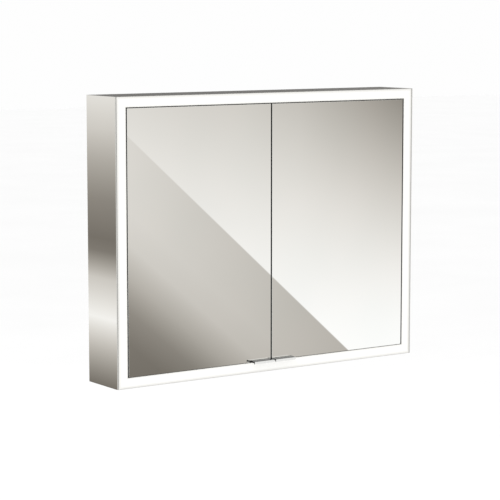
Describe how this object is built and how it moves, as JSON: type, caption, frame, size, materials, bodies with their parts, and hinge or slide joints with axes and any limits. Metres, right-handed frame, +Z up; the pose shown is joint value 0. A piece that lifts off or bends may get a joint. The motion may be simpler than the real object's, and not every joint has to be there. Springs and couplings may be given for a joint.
{
  "type": "lit mirror cabinet",
  "caption": "Wall-hung bathroom cabinet with mirror doors flush in a lit border, mirror sides and glass shelves inside.",
  "frame": {"origin": "middle of the back face, on the wall", "axes": "+X to the right seen from the front, +Y into the wall, +Z up"},
  "size_m": [0.9, 0.153, 0.7],
  "materials": {
    "anodised_aluminium": "satin anodised grey",
    "mirror_glass": "silvered float glass with polished edges",
    "opal_diffuser": "opal diffuser, lit from behind",
    "circuit_board": "white solder mask",
    "steel": "zinc plated",
    "chrome": "polished chrome plate",
    "door_core": "satin anodised",
    "clear_glass": "toughened float glass with polished edges",
    "black_rubber": "moulded",
    "grey_plastic": "moulded",
    "white_plastic": "moulded",
    "cable_sheath": "extruded sheath"
  },
  "bodies": {
    "cabinet": {"frame_profile_top": "anodised_aluminium", "frame_profile_bottom": "anodised_aluminium", "frame_profile_left": "anodised_aluminium", "frame_profile_right": "anodised_aluminium", "shelf_rail_left": "anodised_aluminium", "shelf_rail_right": "anodised_aluminium", "side_mirror_left": "mirror_glass", "side_mirror_right": "mirror_glass", "back_mirror": "mirror_glass", "diffuser_top": "opal_diffuser", "diffuser_bottom": "opal_diffuser", "diffuser_left": "opal_diffuser", "diffuser_right": "opal_diffuser", "led_strip_top": "circuit_board", "led_strip_bottom": "circuit_board", "led_strip_left": "circuit_board", "led_strip_right": "circuit_board", "corner_key_top_left": "steel", "corner_key_top_right": "steel", "corner_key_bottom_left": "steel", "corner_key_bottom_right": "steel", "back_cover": "steel", "hanging_rail": "steel", "wall_rail": "steel", "hinge_bracket_upper_left": "steel", "hinge_bracket_upper_right": "steel", "hinge_bracket_lower_left": "steel", "hinge_bracket_lower_right": "steel", "hinge_pin_upper_left": "chrome", "hinge_pin_upper_right": "chrome", "hinge_pin_lower_left": "chrome", "hinge_pin_lower_right": "chrome", "shelf_support_upper_left": "chrome", "shelf_support_upper_right": "chrome", "shelf_support_lower_left": "chrome", "shelf_support_lower_right": "chrome", "shelf_upper": "clear_glass", "shelf_lower": "clear_glass", "cable_grommet": "black_rubber", "door_catch_left": "black_rubber", "door_catch_right": "black_rubber", "led_driver": "grey_plastic", "switch_housing": "grey_plastic", "terminal_block": "white_plastic", "mains_lead": "cable_sheath", "led_lead": "cable_sheath"},
    "door_left": {"door_mirror_left": "mirror_glass", "door_core_left": "door_core", "door_rear_mirror_left": "mirror_glass", "door_handle_left": "chrome", "hinge_leaf_upper_left": "steel", "hinge_leaf_lower_left": "steel"},
    "door_right": {"door_mirror_right": "mirror_glass", "door_core_right": "door_core", "door_rear_mirror_right": "mirror_glass", "door_handle_right": "chrome", "hinge_leaf_upper_right": "steel", "hinge_leaf_lower_right": "steel"},
    "push_button": {"switch_button": "white_plastic"}
  },
  "joints": [
    {"name": "door_left_hinge", "type": "hinge", "parent": "cabinet", "child": "door_left", "pos_m": [-0.3977, -0.127, 0], "axis": [0, 0, -1], "range_deg": [0, 95]},
    {"name": "door_right_hinge", "type": "hinge", "parent": "cabinet", "child": "door_right", "pos_m": [0.3977, -0.127, 0], "axis": [0, 0, 1], "range_deg": [0, 95]},
    {"name": "button_travel", "type": "slide", "parent": "cabinet", "child": "push_button", "axis": [0, 0, -1], "range_m": [0, 0.002], "stiffness_N_per_m": 300, "springref_m": -0.001}
  ]
}
